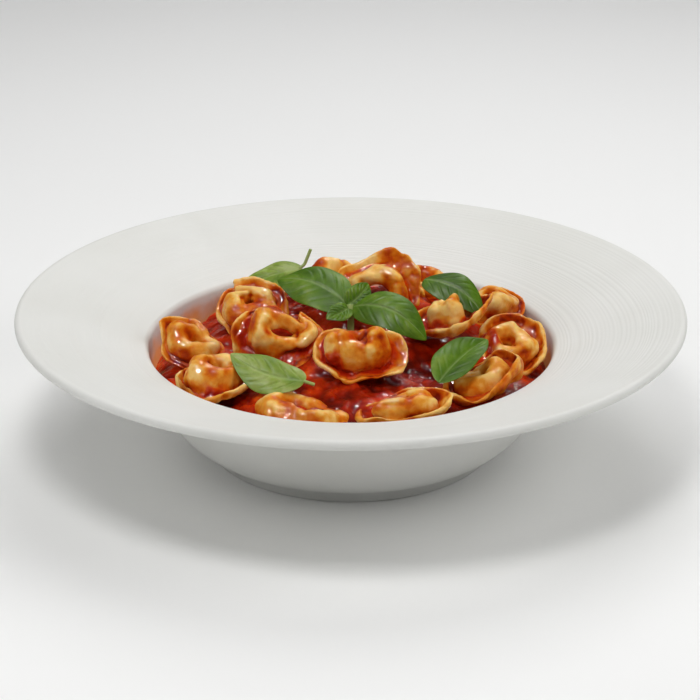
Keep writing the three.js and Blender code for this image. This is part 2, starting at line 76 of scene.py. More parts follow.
def add_area(name, place, size, power, glints=True, shade=True):
    """A round lamp; glints is whether shiny things mirror it, and shade whether it lights them."""
    data = bpy.data.lights.new(name, "AREA")
    data.shape = "DISK"
    data.size = size
    data.energy = power
    light = bpy.data.objects.new(name, data)
    light.location = place
    aim = LIGHTS_AIM - Vector(place)
    light.rotation_euler = aim.to_track_quat("-Z", "Y").to_euler()
    light.visible_glossy = glints
    light.visible_diffuse = shade
    bpy.context.collection.objects.link(light)


def add_studio():
    add_area("key", (-0.12, -0.42, 0.95), 0.3, 3.1, glints=False)
    add_area("back_top", (0.1, 0.55, 0.9), 0.8, 4.0, glints=False)
    add_area("fill_right", (0.9, -0.2, 0.7), 0.7, 3.4, glints=False)
    add_area("fill_left", (-0.9, -0.3, 0.6), 0.7, 1.7, glints=False)
    add_area("glint", (-0.4, -0.3, 0.9), 0.2, 24, shade=False)
    add_area("back_glint", (0.15, 0.7, 0.75), 0.12, 5, shade=False)
    world = bpy.data.worlds.new("studio")
    bpy.context.scene.world = world
    world.use_nodes = True
    background = world.node_tree.nodes["Background"]
    background.inputs["Color"].default_value = (1, 1, 1, 1)
    background.inputs["Strength"].default_value = 0.23
    world.cycles_visibility.glossy = False
    bpy.context.scene.view_settings.view_transform = "Standard"


# ---------------------------------------------------------------- numbers and noise


def vary(seed, k):
    """A repeatable number from -1 to 1 for property k of piece number seed, as the solids have it."""
    x = math.sin(seed * 12.9898 + k * 78.233) * 43758.5453
    return 2 * (x - math.floor(x)) - 1


def mix(a, b, t):
    return a + (b - a) * t


def smooth_step(low, high, x):
    t = np.clip((x - low) / (high - low), 0, 1)
    return t * t * (3 - 2 * t)


def lattice(cells, seed):
    """A random number from -1 to 1 for each whole-numbered cell [x, y, z]."""
    h = cells[0] * 374761393 + cells[1] * 668265263 + cells[2] * 1440662683 + seed * 1274126177
    h &= 0xFFFFFFFF
    h = ((h ^ (h >> 13)) * 1274126177) & 0xFFFFFFFF
    return ((h ^ (h >> 16)) & 0xFFFFFF) / 0x7FFFFF - 1.0


def noise(points, size, seed=0, octaves=1):
    """Smooth noise, about -1 to 1, at points (N x 3), with bumps of that size."""
    total = np.zeros(len(points))
    scale = 1.0
    for octave in range(octaves):
        q = points / size * 2**octave
        cell = np.floor(q).astype(np.int64)
        f = q - cell
        f = f * f * (3 - 2 * f)
        layer = np.zeros(len(points))
        for corner in range(8):
            step = [corner & 1, corner >> 1 & 1, corner >> 2 & 1]
            weight = np.ones(len(points))
            for axis in range(3):
                weight = weight * (f[:, axis] if step[axis] else 1 - f[:, axis])
            layer += weight * lattice([cell[:, k] + step[k] for k in range(3)], seed + 17 * octave)
        total += layer * scale
        scale *= 0.5
    return total


# ---------------------------------------------------------------- meshes


def make_object(name, vertices, faces, material):
    """A smooth mesh object from points in millimetres."""
    mesh = bpy.data.meshes.new(name)
    mesh.from_pydata((np.asarray(vertices) * MM).tolist(), [], faces)
    mesh.polygons.foreach_set("use_smooth", [True] * len(mesh.polygons))
    mesh.materials.append(material)
    mesh.update()
    thing = bpy.data.objects.new(name, mesh)
    bpy.context.collection.objects.link(thing)
    return thing


def points_of(mesh):
    """The mesh's vertices in millimetres."""
    co = np.empty(len(mesh.vertices) * 3)
    mesh.vertices.foreach_get("co", co)
    return co.reshape(-1, 3) / MM


def set_points(mesh, points):
    mesh.vertices.foreach_set("co", (points * MM).ravel())
    mesh.update()


def normals_of(mesh):
    normal = np.empty(len(mesh.vertices) * 3)
    mesh.vertex_normals.foreach_get("vector", normal)
    return normal.reshape(-1, 3)


def set_attribute(mesh, name, values):
    attribute = mesh.attributes.new(name, "FLOAT", "POINT")
    attribute.data.foreach_set("value", np.asarray(values, np.float32))


def edge_ends(mesh):
    """The two vertices of each edge, as two arrays."""
    edges = np.empty(len(mesh.edges) * 2, np.int64)
    mesh.edges.foreach_get("vertices", edges)
    return edges[0::2], edges[1::2]


def smoothed(mesh, values, rounds):
    """Values at the vertices, each replaced by its neighbours' mean that many times."""
    a, b = edge_ends(mesh)
    count = len(mesh.vertices)
    degree = np.bincount(a, minlength=count) + np.bincount(b, minlength=count)
    columns = values.reshape(count, -1).copy()
    for _ in range(rounds):
        for k in range(columns.shape[1]):
            total = np.bincount(a, columns[b, k], count) + np.bincount(b, columns[a, k], count)
            columns[:, k] = total / np.maximum(degree, 1)
    return columns.reshape(values.shape)


def grid_faces(rows, columns, start=0, wrap=False):
    """The quads of a grid of vertices; wrap joins the last column to the first."""
    faces = []
    for i in range(rows - 1):
        for j in range(columns if wrap else columns - 1):
            a = start + i * columns + j
            b = start + i * columns + (j + 1) % columns
            faces.append((a, b, b + columns, a + columns))
    return faces


def drop_specks(mesh):
    """Deletes all but the largest of the mesh's separate parts."""
    a, b = edge_ends(mesh)
    part = np.arange(len(mesh.vertices))
    before = None
    while before is None or (part != before).any():
        before = part.copy()
        lowest = np.minimum(part[a], part[b])
        np.minimum.at(part, a, lowest)
        np.minimum.at(part, b, lowest)
        part = part[part]
    loose = part != np.bincount(part).argmax()
    if loose.any():
        edited = bmesh.new()
        edited.from_mesh(mesh)
        bmesh.ops.delete(edited, geom=[v for v, out in zip(edited.verts, loose) if out], context="VERTS")
        edited.to_mesh(mesh)
        edited.free()


def remeshed(thing, voxel):
    """Fuses what overlaps in a closed mesh into one skin of even quads."""
    modifier = thing.modifiers.new("fuse", "REMESH")
    modifier.mode = "VOXEL"
    modifier.voxel_size = voxel * MM
    modifier.use_smooth_shade = True
    evaluated = thing.evaluated_get(bpy.context.evaluated_depsgraph_get())
    mesh = bpy.data.meshes.new_from_object(evaluated)
    thing.modifiers.clear()
    material = thing.data.materials[0]
    thing.data = mesh
    mesh.materials.clear()
    mesh.materials.append(material)
    drop_specks(mesh)
    return mesh


# ---------------------------------------------------------------- material nodes


class Shader:
    """A material's node tree, with short calls for the nodes that it uses."""

    def __init__(self, name):
        self.material = bpy.data.materials.new(name)
        self.material.use_nodes = True
        self.tree = self.material.node_tree
        self.surface = self.tree.nodes["Principled BSDF"]

    def set(self, **values):
        for name, value in values.items():
            self.surface.inputs[name.replace("_", " ")].default_value = value

    def node(self, kind, **inputs):
        made = self.tree.nodes.new("ShaderNode" + kind)
        for name, value in inputs.items():
            self.put(made.inputs[name.replace("_", " ")], value)
        return made

    def put(self, socket, value):
        if isinstance(value, bpy.types.NodeSocket):
            self.tree.links.new(value, socket)
        else:
            socket.default_value = value

    def link(self, name, value):
        self.tree.links.new(value, self.surface.inputs[name])

    def place(self):
        return self.node("TexCoord").outputs["Object"]

    def attribute(self, name):
        made = self.node("Attribute")
        made.attribute_name = name
        return made.outputs["Fac"]

    def noise(self, size, detail=2.0, distortion=0.0):
        made = self.node("TexNoise", Vector=self.place(), Scale=1 / (size * MM), Detail=detail)
        made.inputs["Distortion"].default_value = distortion
        return made.outputs["Fac"]

    def ramp(self, factor, *stops):
        made = self.node("ValToRGB", Fac=factor)
        elements = made.color_ramp.elements
        while len(elements) < len(stops):
            elements.new(0.5)
        for element, (position, colour) in zip(elements, stops):
            element.position = position
            element.color = colour
        return made.outputs["Color"]

    def math(self, operation, *values, clamp=False):
        made = self.node("Math")
        made.operation = operation
        made.use_clamp = clamp
        for socket, value in zip(made.inputs, values):
            self.put(socket, value)
        return made.outputs["Value"]

    def mix(self, factor, a, b):
        made = self.node("Mix")
        made.data_type = "RGBA"
        for socket, value in zip((made.inputs[0], made.inputs[6], made.inputs[7]), (factor, a, b)):
            self.put(socket, value)
        return made.outputs[2]

    def span(self, value, low, high, to_low=0.0, to_high=1.0):
        made = self.node("MapRange", Value=value)
        ends = {"From Min": low, "From Max": high, "To Min": to_low, "To Max": to_high}
        for name, number in ends.items():
            made.inputs[name].default_value = number
        return made.outputs["Result"]

    def bump(self, height, depth, under=None):
        made = self.node("Bump", Height=height, Distance=depth * MM)
        if under is not None:
            self.put(made.inputs["Normal"], under)
        return made.outputs["Normal"]


def srgb(r, g, b):
    """A colour given by its three 0 to 255 screen values."""
    linear = [c / 255 / 12.92 if c <= 10 else ((c / 255 + 0.055) / 1.055) ** 2.4 for c in (r, g, b)]
    return (*linear, 1)


# ---------------------------------------------------------------- materials


def glaze_material():
    m = Shader("glaze")
    tint = m.noise(60, 2)
    colour = m.mix(m.span(tint, 0.35, 0.65), srgb(222, 222, 217), srgb(227, 227, 223))
    # painted reflection: the well's wall is tinted warm low down, towards the sauce, as its glaze would
    # mirror the food
    height = m.node("SeparateXYZ", Vector=m.place()).outputs["Z"]
    low = m.span(m.math("ADD", height, m.span(m.noise(14, 3), 0.3, 0.7, -0.003, 0.003)), 0.0445, 0.037)
    painted_reflection = m.math("MULTIPLY", m.attribute("well"), low)
    m.link("Base Color", m.mix(painted_reflection, colour, srgb(234, 170, 108)))
    m.set(Specular_IOR_Level=0.04)
    fine = m.noise(1.6, 2)
    m.link("Roughness", m.span(m.noise(9, 3), 0.3, 0.7, 0.45, 0.58))
    m.link("Normal", m.bump(fine, 0.03))
    return m.material


def pasta_material():
    m = Shader("pasta")
    # painted shade: the dough's colour is darker and redder in its creases, besides where the sauce has
    # coloured it
    stain_and_shade = m.attribute("stain_and_shade")
    sauce = m.attribute("sauce")
    mottle = m.noise(3.5, 4, 0.4)
    fine = m.noise(0.9, 3)
    amount = m.math("ADD", stain_and_shade, m.span(mottle, 0.3, 0.7, -0.14, 0.14), clamp=True)
    dough = m.ramp(
        amount,
        (0.0, srgb(240, 196, 114)),
        (0.25, srgb(228, 156, 56)),
        (0.5, srgb(212, 112, 14)),
        (0.75, srgb(186, 66, 3)),
        (1.0, srgb(130, 26, 2)),
    )
    # the film of sauce: orange where it is thin, red where it is thick
    red = m.ramp(
        m.math("ADD", sauce, m.span(fine, 0.3, 0.7, -0.08, 0.08), clamp=True),
        (0.3, srgb(216, 104, 10)),
        (0.6, srgb(198, 66, 3)),
        (0.95, srgb(166, 30, 1)),
    )
    thick = m.span(sauce, 0.28, 0.6)
    m.link("Base Color", m.mix(thick, dough, red))
    m.link("Roughness", m.span(mottle, 0.3, 0.7, 0.28, 0.5))
    m.set(
        Specular_IOR_Level=0.06,
        Subsurface_Weight=0.2,
        Subsurface_Radius=(1.0, 0.45, 0.12),
        Subsurface_Scale=1.5 * MM,
        Coat_Roughness=0.03,
        Coat_IOR=1.4,
    )
    # the film is wet and the bare dough has only a sheen
    wet = m.math("ADD", sauce, m.span(mottle, 0.3, 0.7, -0.2, 0.2))
    m.link("Coat Weight", m.span(wet, -0.1, 0.5, 0.15, 0.9))
    dimples = m.bump(m.noise(1.3, 3), 0.12)
    m.link("Normal", m.bump(fine, 0.05, under=dimples))
    m.link("Coat Normal", m.bump(m.noise(1.6, 0), 0.4))
    return m.material


def sauce_material():
    m = Shader("tomato_sauce")
    lumps = m.noise(6, 1)
    fine = m.noise(0.8, 4)
    colour = m.ramp(
        # painted shade: the tone attribute is also darker in the pool under the tortellini
        m.math("ADD", m.attribute("chunk_and_shade"), m.span(lumps, 0.3, 0.7, -0.1, 0.2), clamp=True),
        (0.0, srgb(76, 8, 1)),
        (0.4, srgb(148, 27, 2)),
        (0.75, srgb(196, 52, 4)),
        (1.0, srgb(226, 94, 14)),
    )
    m.link("Base Color", colour)
    m.link("Roughness", m.span(fine, 0.3, 0.7, 0.4, 0.6))
    m.set(
        Specular_IOR_Level=0.02,
        Subsurface_Weight=0.25,
        Subsurface_Radius=(1.0, 0.15, 0.04),
        Subsurface_Scale=2 * MM,
        Coat_Roughness=0.03,
        Coat_IOR=1.27,
    )
    m.link("Coat Weight", m.span(m.noise(4, 2), 0.39, 0.55, 0.05, 1.0))
    grains = m.bump(m.noise(1.5, 2), 0.1)
    m.link("Normal", m.bump(fine, 0.03, under=grains))
    m.link("Coat Normal", m.bump(m.noise(1.6, 0), 0.6))
    return m.material


def basil_material():
    m = Shader("basil")
    shade = m.attribute("shade")
    vein = m.attribute("vein")
    mottle = m.noise(5, 3)
    green = m.ramp(
        m.math("ADD", shade, m.span(mottle, 0.3, 0.7, -0.12, 0.12), clamp=True),
        (0.0, srgb(50, 82, 8)),
        (0.4, srgb(84, 118, 14)),
        (0.7, srgb(128, 148, 52)),
        (1.0, srgb(172, 182, 120)),
    )
    m.link("Base Color", m.mix(m.span(vein, 0.0, 1.0, 0.0, 0.3), green, srgb(160, 180, 110)))
    m.link("Roughness", m.span(m.noise(2.5, 3), 0.3, 0.7, 0.42, 0.56))
    m.set(
        Specular_IOR_Level=0.12,
        Subsurface_Weight=0.15,
        Subsurface_Radius=(0.4, 1.0, 0.15),
        Subsurface_Scale=1.0 * MM,
    )
    cells = m.bump(m.noise(0.7, 3), 0.05)
    m.link("Normal", cells)
    return m.material


# ---------------------------------------------------------------- plate

PLATE = SimpleNamespace(
    radius=140, height=63.4, lip=4, wall=4.2,
    shoulder_radius=85.1, shoulder_height=47, shoulder_rise=0.8, shoulder_round=3,
    well_radius=84.7, well_top=42, floor_height=10, floor_radius=48,
    bowl_radius=88, bowl_start=64, bowl_base=6.5, bowl_power=1.35, well_power=1.2,
    foot_radius=60, foot_width=4.5, foot_height=5, foot_round=0.6,
    segments=288,
)


def arc(centre, radius, start, end, count):
    angles = np.radians(np.linspace(start, end, count))
    return [(centre[0] + radius * math.cos(a), centre[1] + radius * math.sin(a)) for a in angles]


def well_wall(count):
    """The well's inside, from under the shoulder to the edge of its flat middle."""
    p = PLATE
    a = np.linspace(0, math.pi / 2, count)
    radius = mix(p.floor_radius, p.well_radius, np.clip(np.cos(a), 0, 1) ** p.well_power)
    height = mix(p.well_top, p.floor_height, np.sin(a))
    return list(zip(radius, height))


def well_radius_at(height):
    wall = np.array(well_wall(60))[::-1]
    return np.interp(height, wall[:, 1], wall[:, 0])


RIDGE_COUNT = 31
RIDGE_DEPTH = 0.07


def ridges(radius, angle):
    """The throwing rings of the rim: uneven soft ridges, about 2 mm apart, that waver a little."""
    p = PLATE
    t = (radius - p.shoulder_radius) / (p.radius - p.shoulder_radius)
    waver = 0.05 * np.sin(angle + 1) + 0.04 * np.sin(2 * angle + 11 * t)
    uneven = t + 0.02 * np.sin(17 * t) + 0.011 * np.sin(41 * t + 2)
    phase = RIDGE_COUNT * uneven + 8 * waver * t * (1 - t)
    strength = 0.6 + 0.4 * np.sin(9 * t + 1.3) * np.sin(3 * angle + 20 * t)
    coarse = np.sin(2 * math.pi * phase) * strength
    fine = 0.35 * np.sin(2 * math.pi * 2.37 * phase + 3 * np.sin(angle))
    fade = smooth_step(0.03, 0.12, t) * (1 - smooth_step(0.93, 0.985, t))
    return RIDGE_DEPTH * (coarse + fine) * fade


def plate_profile():
    """The section from the axis under the foot, over the lip, to the axis on the floor, and which of
    its points are on the rim's upper face and which in the well."""
    p = PLATE
    inside = p.foot_radius - p.foot_width
    foot = [
        (0, p.foot_height), (inside - 6, p.foot_height), (inside - 1, p.foot_height - 0.2),
        (inside, p.foot_height - 1.2), (inside + p.foot_round, 0.3), (inside + p.foot_round + 0.5, 0),
        (p.foot_radius - 0.5, 0), (p.foot_radius, 0.3), (p.foot_radius + p.foot_round, p.bowl_base),
    ]
    a = np.linspace(0, math.pi / 2, 30)
    bowl_top = p.shoulder_height - p.wall
    radius = mix(p.bowl_start, p.bowl_radius, np.sin(a) ** p.bowl_power)
    height = mix(bowl_top, p.bowl_base, np.cos(a) ** p.bowl_power)
    bowl = list(zip(radius, height))
    half = p.lip / 2
    lip = arc((p.radius - half, p.height - half), half, -100, 100, 17)
    under_rim = list(zip(*(np.linspace(bowl[-1][k], lip[0][k], 16)[1:-1] for k in (0, 1))))
    r = p.shoulder_round
    shoulder = arc((p.shoulder_radius + r, p.shoulder_height + p.shoulder_rise - r), r, 105, 175, 12)
    rim = list(zip(*(np.linspace(lip[-1][k], shoulder[0][k], 150)[1:-1] for k in (0, 1))))
    well = well_wall(44) + [(30, p.floor_height), (12, p.floor_height), (0, p.floor_height)]
    parts = [foot, bowl, under_rim, lip, rim, shoulder, well]
    points = np.array([point for part in parts for point in part])
    on_rim = np.concatenate([np.full(len(part), part is rim) for part in parts])
    in_well = np.concatenate([np.full(len(part), part is well) for part in parts])
    return points, on_rim, in_well


def make_plate(material):
    profile, on_rim, in_well = plate_profile()
    count = PLATE.segments
    angle = np.arange(count) / count * 2 * math.pi
    radius = profile[1:-1, 0][:, None]
    height = profile[1:-1, 1][:, None] + on_rim[1:-1, None] * ridges(radius, angle[None, :])
    x = radius * np.cos(angle)
    y = radius * np.sin(angle)
    body = np.stack([x, y, height + 0 * x], -1).reshape(-1, 3)
    rows = len(profile) - 2
    faces = grid_faces(rows, count, wrap=True)
    vertices = np.vstack([body, [[0, 0, profile[0, 1]], [0, 0, profile[-1, 1]]]])
    bottom, top = len(body), len(body) + 1
    for j in range(count):
        k = (j + 1) % count
        faces.append((bottom, k, j))
        faces.append((top, (rows - 1) * count + j, (rows - 1) * count + k))
    plate = make_object("plate_glazed", vertices, faces, material)
    set_attribute(plate.data, "well", np.concatenate([np.repeat(in_well[1:-1], count), [0, 1]]))
    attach(plate, "root")
    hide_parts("plate")


# ---------------------------------------------------------------- tortellini

TORTELLINO = dict(
    hole=2.2, belly=5.6, belly_height=6.8, pinch=1.7, pinch_height=3.8, fullness=1.05, lift=1,
    edge=(2.6, 4, 5.5, 4, 2.6), point=0, point_at=0, thickness=1.5, root=-38, droop=-25,
    curl=(50, 40, 30, 40, 50), wide=1.12, deep=0.98, lump=1.2, cross=0.13, flare=2.5, pulls=(), wet=0.35,
    dip=1, crumple=1,
)


def piece(at, turn, size=1, **shape):
    """Where a tortellino lies: its ring's middle, its belly's heading, how far its crown leans and
    towards which heading; then where its form differs from TORTELLINO."""
    return SimpleNamespace(at=at, turn=turn, size=size, **{**TORTELLINO, **shape})


PIECES = {
    "back_left": piece((-42, 50, 46.5), (150, 10, 0)),
    "far_back": piece((-9, 66, 46.5), (200, 12, 20)),
    "far_right": piece((25, 65, 45.5), (20, 10, 180)),
    "left": piece(
        (-65, -7, 48.5), (-20, 22, 20), 0.9,
        hole=2.6, belly=4.6, pinch=2.2, edge=(7, 4, 5, 4, 3), curl=(80, 60, 30, 40, 50), wide=1.25,
        pulls=[((-76, -1, 53), (-5, 0, 4), 4), ((-62, -6, 50), (0, 0, -2), 5)],
    ),
    "front": piece(
        (-19.5, -66.5, 39.5), (165, 14, 150),
        hole=4.5, fullness=1.8, edge=(2, 2, 3, 2, 2), flare=1, cross=0.22, pinch=2.8, pinch_height=5,
        wide=1.4, deep=0.9, wet=0, dip=0.2,
    ),
    "front_left": piece(
        (-53, -43, 48.5), (-72, 8, 0),
        hole=2, belly=5.4, belly_height=8.6, pinch=3, pinch_height=5, edge=(2, 4, 7, 8.5, 3), droop=-5,
        curl=(50, 60, 80, 75, 50), wide=1.1, deep=1.1, wet=0.8,
    ),
    "front_right": piece(
        (20.5, -65, 44), (8, 12, -60),
        hole=0.8, belly=5.2, belly_height=6.4, fullness=1.8, edge=(6, 8, 8.5, 9, 7), root=-55, droop=5,
        curl=(80, 80, 85, 80, 90), wide=1.5, deep=0.75, lump=1.8, wet=0.2, dip=0.4,
    ),
    "right": piece(
        (64, -8, 48), (75, 26, 15),
        hole=2.2, belly=5, pinch=2.2, edge=(4, 5, 9, 9, 4), droop=0, curl=(60, 70, 80, 80, 70), wide=1.05,
        deep=1.15, wet=0.6,
    ),
    "right_front": piece(
        (52.5, -42, 46), (38, 14, -90),
        hole=2, belly=3.6, belly_height=4.6, fullness=2, pinch=2.4, edge=(7, 9, 11, 11, 9), root=-55,
        droop=0, curl=(70, 75, 80, 85, 80), wide=1.45, deep=0.95,
    ),
    "back_right": piece(
        (60, 32, 51.5), (25, 24, 0), 0.92,
        hole=1.2, belly_height=8, edge=(3, 5, 5, 5, 3), lump=2.4, curl=(60, 60, 60, 60, 60), wide=1.3,
        wet=0,
    ),
    "behind_peak": piece((31, 46, 51.5), (160, 10, 0)),
    "back": piece((-8, 46, 54.5), (200, 15, 0), hole=3),
    "upper_left": piece(
        (-43, 20, 56), (0, 34, -10),
        hole=1.6, belly=6, belly_height=7, edge=(4, 3.5, 3.5, 5, 6), wide=1.35, deep=1.1, flare=3.5,
    ),
    "centre_right": piece(
        (40, -3, 60), (20, 14, -60),
        hole=0.8, belly=4.6, belly_height=8.6, edge=(5, 10, 8.5, 11.5, 4), point=2, point_at=0.4,
        droop=-20, curl=(60, 65, 75, 75, 60), lump=2, wide=1.05, wet=0.8,
    ),
    "peak": piece(
        (10.5, 21, 58), (172, 62, 0),
        hole=5.2, belly=4.2, belly_height=6, fullness=1.8, edge=(5, 5, 7, 5, 4), point=6.5,
        point_at=-0.14, droop=-10, curl=(30, 25, 15, 25, 30), lump=1.2, wide=1.15, wet=0.5,
        pulls=[
            ((2, 31, 71), (0.5, 0, -2.5), 4), ((16.5, 33, 75), (1.5, 0, 2), 3),
            ((26, 30, 73), (0, 0, -2.5), 3.5),
        ],
        crumple=0.4,
    ),
    "centre_left": piece(
        (-30, -16, 58.5), (-68, 48, 0),
        hole=2.8, belly=5.2, belly_height=6.4, edge=(1.5, 2.5, 8, 10, 3), point=2, point_at=-0.08,
        droop=-20, curl=(20, 20, 20, 60, 40), cross=0.15, flare=4, lift=-2, wide=1.1,
        pulls=[((-20, -26, 55.5), (8, 0, 1), 6), ((-20, -15, 60), (8, 0, -2), 5)], wet=0.9,
    ),
    "middle": piece(
        (2.5, -32, 58), (0, 28, 0),
        hole=0.6, belly=5.6, belly_height=6.8, fullness=3.2, edge=(4, 5, 10, 6, 3),
        point=3, point_at=0.2, curl=(80, 75, 35, 50, 75), lump=2, lift=3, wide=1.3, deep=0.85, wet=1,
    ),
}

STATIONS = 130
ROUND_POINTS = 56
BRIM_POINTS = 14
EDGE_POINTS = 5
VOXEL = 0.5
WALL_GAP = 0.2
# rounds of smoothing that reach about 2 and 4 mm over a tortellino's skin
NEAR_ROUNDS = 14
WIDE_ROUNDS = 60


def dough_lumps(seed, s, t):
    total = 0
    for k in range(4):
        lengthwise = 1.6 + k + vary(seed, k) * 0.5
        around = 1 + k % 3
        wave = np.sin(math.pi * lengthwise * s + around * t + 3 * vary(seed, 10 + k))
        total = total + wave / (1.4 + 0.5 * k)
    return total / 2


def across(values, s):
    """The smooth curve through values that are spread evenly from s = -1 to 1."""
    t = (np.clip(s, -1, 1) + 1) / 2 * (len(values) - 1)
    i = np.minimum(np.floor(t).astype(int), len(values) - 2)
    f = t - i
    v = np.array([values[0], *values, values[-1]], float)
    a, b, c, d = (v[i + k] for k in range(4))
    return b + 0.5 * f * (c - a + f * (2 * a - 5 * b + 4 * c - d + f * (3 * (b - c) + d - a)))


def pasta_outlines(p, seed, s):
    """The closed sections at s (a column), as arrays of outwards and up, station by point."""
    back = np.minimum(1, abs(s))
    past = np.maximum(0, (abs(s) - 0.8) / (0.2 + p.cross))
    full = (1 - back**p.fullness) ** 1.1
    taper = 1 - 0.45 * np.minimum(1, past**2)
    a = mix(p.pinch, p.belly, full) * taper
    b = mix(p.pinch_height, p.belly_height, full) * taper
    apart = np.sign(s) * past * (p.pinch * 0.9 + 0.3)
    centre = p.hole + a + apart + p.flare * past**2
    lift = p.lift * back**2
    # round the filling, from above the brim over the crown and through the hole to below the brim
    root = math.radians(p.root)
    half = p.thickness / 2
    spread = 1.3 * np.arcsin(half / np.maximum(half * 1.5, np.maximum(a, b)))
    t = root + spread + np.linspace(0, 1, ROUND_POINTS) * 2 * (math.pi - spread)
    bump = 1 + p.lump * full * dough_lumps(seed, s, t) / a
    out = [centre + a * np.cos(t) * bump]
    up = [b * np.sin(t) * bump + lift]
    # out along the brim's underside, round its edge and back along its top
    wave = np.sin(5.3 * s + 2 * vary(seed, 21)) + 0.7 * np.sin(11 * s + 3 * vary(seed, 22))
    point = p.point * np.maximum(0, 1 - abs(s - p.point_at) / 0.22)
    width = across(p.edge, s) * taper + point + 0.7 * wave * (1 - back)
    tip = 12 * np.sin(6 * s + 4 * vary(seed, 23))
    curl = across(p.curl, s)
    start = np.radians(p.droop + 0.6 * (curl - p.curl[2] + tip))
    end = np.radians(curl + tip)
    share = np.arange(1, BRIM_POINTS + 1) / BRIM_POINTS
    angle = mix(start, end, share)
    x = centre + a * 0.85 * math.cos(root) + np.cumsum(np.cos(angle), 1) * width / BRIM_POINTS
    z = b * 0.85 * math.sin(root) + lift + np.cumsum(np.sin(angle), 1) * width / BRIM_POINTS
    h = half * mix(1.15, 0.9, share)
    out.append(x + np.sin(angle) * h)
    up.append(z - np.cos(angle) * h)
    tip_h = half * 0.9
    turn = np.radians(np.linspace(-60, 60, EDGE_POINTS)) + end
    out.append(x[:, -1:] + tip_h * np.cos(turn))
    up.append(z[:, -1:] + tip_h * np.sin(turn))
    out.append((x - np.sin(angle) * h)[:, ::-1])
    up.append((z + np.cos(angle) * h)[:, ::-1])
    return np.hstack(out), np.hstack(up)


def placing(p):
    heading, lean, towards = (math.radians(angle) for angle in p.turn)
    axis = Vector((math.cos(towards), math.sin(towards), 0))
    turn = Matrix.Rotation(lean, 3, axis) @ Matrix.Rotation(heading, 3, UP)
    return np.array(turn) * p.size, np.array(p.at)


def section_weights():
    """For each point of a section, how much it is in the trough between belly and brim, and how
    near it is to the brim's edge."""
    share = np.arange(1, BRIM_POINTS + 1) / BRIM_POINTS
    belly = np.linspace(0, 1, ROUND_POINTS)
    zero = 0 * share
    trough = [1 - smooth_step(0.03, 0.17, belly), zero, np.zeros(EDGE_POINTS)]
    trough.append((1 - smooth_step(0.4, 0.95, share))[::-1])
    near_edge = smooth_step(0.6, 1, share)
    edge = [0 * belly, near_edge, np.ones(EDGE_POINTS), near_edge[::-1]]
    return np.stack([np.concatenate(trough), np.concatenate(edge)], 1)


def pasta_tube(p, seed):
    """The rough skin of a tortellino in the dish's frame: points, faces and each point's weights."""
    end = 1 + p.cross
    s = np.linspace(-end, end, STATIONS)[:, None]
    out, up = pasta_outlines(p, seed, s)
    turn = s * math.pi
    local = np.stack([out * np.sin(turn) * p.wide, -out * np.cos(turn) * p.deep, up], -1)
    rotate, move = placing(p)
    points = local.reshape(-1, 3) @ rotate.T + move
    for at, pull, reach in p.pulls:
        away = ((points - at) ** 2).sum(1, keepdims=True)
        points = points + np.array(pull) * np.exp(-away / (2 * reach**2))
    n = out.shape[1]
    faces = grid_faces(STATIONS, n, wrap=True)
    faces.append(tuple(range(n))[::-1])
    faces.append(tuple(range((STATIONS - 1) * n, STATIONS * n)))
    return points, faces, np.tile(section_weights(), (STATIONS, 1))


def crumpled(points, seed, amount):
    """Soft folds and leans of the dough: the points moved by noise of two sizes."""
    seeds = range(seed * 7, seed * 7 + 3)
    moves = [2 * noise(points, 12, k) + 1.1 * noise(points, 6, k + 3) for k in seeds]
    return points + amount * np.stack(moves, 1)


# Where dabs of sauce lie on the pasta: each one's middle and reach.
DABS = [
    ((-71.8, -14, 54.3), 4), ((16.8, 25, 73.6), 3), ((50, -12, 56.7), 5), ((-57.2, 18, 55.2), 2.5),
    ((-48.8, -20, 54), 5), ((-56.2, -55, 48.5), 5), ((-1, -37, 65), 4), ((59.2, -10, 55.4), 5),
    ((-8, -42, 56), 4), ((-33, -24, 62), 3), ((34, -6, 68), 3), ((-47, -41, 57), 3),
]


def nearest_values(points, sources, values):
    """For each point, the value at the nearest of the sources."""
    tree = KDTree(len(sources))
    for i, source in enumerate(sources):
        tree.insert(source, i)
    tree.balance()
    return values[[tree.find(point)[1] for point in points]]


def dough_folds(co, seed):
    """How far the dough stands out of its smooth form: soft folds of two sizes, and its grain."""
    large = np.minimum(np.abs(noise(co, 9, seed)), 0.35)
    small = np.minimum(np.abs(noise(co, 4, seed + 20)), 0.35)
    folds = 2 * large + 0.6 * small - 0.5
    return folds + 0.15 * noise(co, 2.2, seed + 50) + 0.07 * noise(co, 1.1, seed + 90)


def skin_of(mesh, co, p, weights):
    """What the sauce's way over the skin, and the painted shade in its creases, depend on: where it lies
    deeper or higher than the skin round it, where it dips in the sauce, and where the trough and the
    brim's edge are."""
    normal = normals_of(mesh)
    near = ((smoothed(mesh, co, NEAR_ROUNDS) - co) * normal).sum(1)
    wide = ((smoothed(mesh, co, WIDE_ROUNDS) - co) * normal).sum(1)
    return SimpleNamespace(
        co=co,
        normal=normal,
        crease=smooth_step(0.0, 0.5, near) * 0.6 + smooth_step(-0.3, 1.6, wide) * 0.5,
        bulge=smooth_step(0.2, 1.2, -wide),
        dipped=p.dip * (1 - smooth_step(-1, 7, co[:, 2] - sauce_height(co[:, 0], co[:, 1]))),
        trough=weights[:, 0],
        brim_edge=weights[:, 1],
    )


def stain_and_shade_of(skin, p, seed):
    """How deeply the sauce has coloured the dough, from 0 to 1, with painted shade that darkens the
    creases; the bulges come out paler.
    """
    blotch = noise(skin.co, 8, seed + 7, 3)
    stain_and_shade = 0.42 + 0.62 * skin.crease + 0.3 * skin.dipped + 0.45 * blotch - 0.32 * skin.bulge
    return np.clip(stain_and_shade + 0.25 * p.wet * skin.trough + 0.08 * skin.brim_edge, 0, 1)


